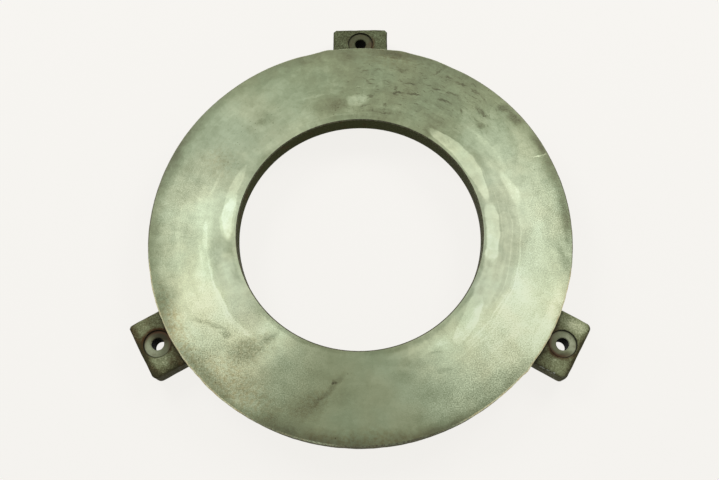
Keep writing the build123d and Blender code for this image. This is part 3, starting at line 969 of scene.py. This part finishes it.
def paint_fulcrum_crest(p):
    rubbed = p.spots(14, 4, 0.6, 0.35, 0.6)
    lines = p.noise(p.join(p.radius(p.here), p.times(rubbed, 0.2)), 0.5, 3, 0.7)
    light = p.times_plus(rubbed, 52, 104)
    light = p.swing(lines, 40, light)
    p.finish(iron_colour(p, light), p.times_plus(rubbed, -0.18, 0.58), metallic=0.5)
    p.relief(lines, 0.05)


# Brightness of the spotfaces and strap seats, as patches in the plane, with painted light and shade on the
# discs
MACHINED = 130.0
MACHINED_LIGHT_AND_SHADE = (
    # Painted shade and highlights: the left disc darker at its upper right, in the ring's shadow, and lighter
    # at its lower left; the right disc lighter on its right and darker along its lower edge, with some dirt
    # there; the top disc darker all over
    (0, 166, 26, 24, .2, -50), (148.5, -83, 5, 8, 30, .6, 36), (137, -84, 5, 9, 10, .7, -10),
    (-148, -87, 6, 7, 20, .6, 28), (-140, -77.5, 10, 6, .7, -46), (141, -91.5, 7, 1.6, 20, .6, -44),
    (-141.5, -76.3, 9, 3.2, -12, .5, -26))


def paint_milled(p):
    reach = p.from_hole()
    height = p.split(p.here)[2]
    lines = p.noise(p.join(reach, p.times(height, 0.05)), 0.55, 3, 0.7)
    grain = p.noise(p.here, 1.5, 3, 0.7)
    # Painted light and shade on the discs
    light = p.patches(MACHINED, p.plane(p.warp(p.here, 5, 3)), MACHINED_LIGHT_AND_SHADE)
    light = p.swing(lines, 30, light)
    light = p.swing(grain, 34, light)
    light = p.swing(p.noise(p.here, 7, 3, 0.6), 40, light)
    colour = p.tint(iron_colour(p, light), (250, 245, 247))
    colour = p.tint(colour, (236, 246, 236), p.remap(p.split(p.here)[1], 120, 150))
    rust = p.times(p.spots(5, 3, 0.7, 0.5, 0.68), 0.4)
    edge = p.times(p.remap(reach, 6.5, SPOTFACE_R), p.patches(0.1, p.plane(p.here), SKIN_RUST))
    colour = p.mix(p.times(p.math("MAXIMUM", rust, edge), 0.85, clamp=True), colour, tone(84, 58, 34))
    # Painted shade with grime: a dark band in the corner round each spotface's floor
    corner = p.times(p.remap(height, -17, -14), p.remap(reach, SPOTFACE_R - 0.9, SPOTFACE_R - 0.1))
    colour = p.mix(p.times(corner, 0.93), colour, SOOT_AND_SHADE)
    p.finish(colour, p.swing(grain, 0.15, 0.65), metallic=0.1, specular=0.25)
    p.relief(p.math("ADD", lines, p.times(grain, 0.5)), 0.06)


def paint_drilled(p):
    light = p.swing(p.noise(p.here, 2.5, 3, 0.7), 40, 66)
    p.finish(p.tint(iron_colour(p, light), (88, 82, 56)), 0.9, specular=0.03)


# In the order of FINISHES
PAINTERS = (paint_cast_skin, paint_friction_face, paint_turned_edge, paint_bore_wall, paint_fulcrum_crest,
            paint_milled, paint_drilled)
for paint, material in zip(PAINTERS, materials):
    paint(Paint(material))

# ---------------------------------------------------------------- camera, light and floor

# The camera that was fitted to the photo: metres and degrees
CAMERA_AT, CAMERA_TURN = (0.009016, -0.203322, 0.536259), (19.9686, 0.89, 0.1955)
SENSOR_WIDTH, FOCAL_LENGTH = 36, 39.2603
# (name, where, diameter, watts). The last lamp is for views from below, through the floor
LAMPS = (
    ("soft_left", (-0.6, 0.55, 0.75), 0.5, 5.6), ("soft_right", (0.6, 0.55, 0.7), 0.5, 5.4),
    ("low_front", (0.15, -1.2, 0.2), 0.6, 2.0), ("soft_below", (-0.08, 0.08, -1.1), 0.5, 5.0))
BACKDROP, WHITE = tone(246, 244, 240), (1, 1, 1, 1)
AMBIENT = 0.35
FLOOR_REACH = 4000
SHOWN_WHITE = 0.93                     # the share of the floor's look that no shadow darkens

scene = bpy.context.scene
scene.view_settings.view_transform = "Standard"
camera = bpy.data.objects.new("camera", bpy.data.cameras.new("camera"))
camera.data.sensor_width, camera.data.lens = SENSOR_WIDTH, FOCAL_LENGTH
camera.location = CAMERA_AT
camera.rotation_euler = [radians(turn) for turn in CAMERA_TURN]
scene.collection.objects.link(camera)
scene.camera = camera

for name, where, size, power in LAMPS:
    light = bpy.data.lights.new(name, "AREA")
    light.shape, light.size, light.energy = "DISK", size, power
    lamp = bpy.data.objects.new(name, light)
    lamp.location = where
    lamp.rotation_euler = (-Vector(where)).to_track_quat("-Z", "Y").to_euler()
    scene.collection.objects.link(lamp)

world = bpy.data.worlds.new("studio")
scene.world = world
world.use_nodes = True
sky = Nodes(world.node_tree)
ambient = sky.tree.nodes["Background"]
sky.put(ambient.inputs["Color"], WHITE)
sky.put(ambient.inputs["Strength"], AMBIENT)
seen = sky.result("ShaderNodeBackground", Color=BACKDROP)
rays = sky.add("ShaderNodeLightPath").outputs
surface = sky.blend(rays["Is Camera Ray"], ambient.outputs[0], seen)
sky.link(surface, sky.tree.nodes["World Output"].inputs["Surface"])

pale = bpy.data.materials.new("pale_floor")
corners = [(x * FLOOR_REACH, y * FLOOR_REACH, low.z / MM) for x, y in ((-1, -1), (1, -1), (1, 1), (-1, 1))]
floor = mesh_object("floor", corners, [(0, 1, 2, 3)], [pale], [0])
floor.visible_shadow = False
pale.use_nodes = True
ground = Nodes(pale.node_tree)
ground.tree.nodes.clear()
rays = ground.add("ShaderNodeLightPath").outputs
seen = ground.math("MAXIMUM", rays["Is Camera Ray"], rays["Is Glossy Ray"])
seen = ground.math("MAXIMUM", seen, rays["Is Transmission Ray"])
matt, glow = (ground.result(kind, Color=BACKDROP) for kind in ("ShaderNodeBsdfDiffuse", "ShaderNodeEmission"))
above = ground.blend(ground.times(seen, SHOWN_WHITE), matt, glow)
below = ground.result("ShaderNodeBsdfTransparent")
surface = ground.blend(ground.add("ShaderNodeNewGeometry").outputs["Backfacing"], above, below)
ground.add("ShaderNodeOutputMaterial", surface)
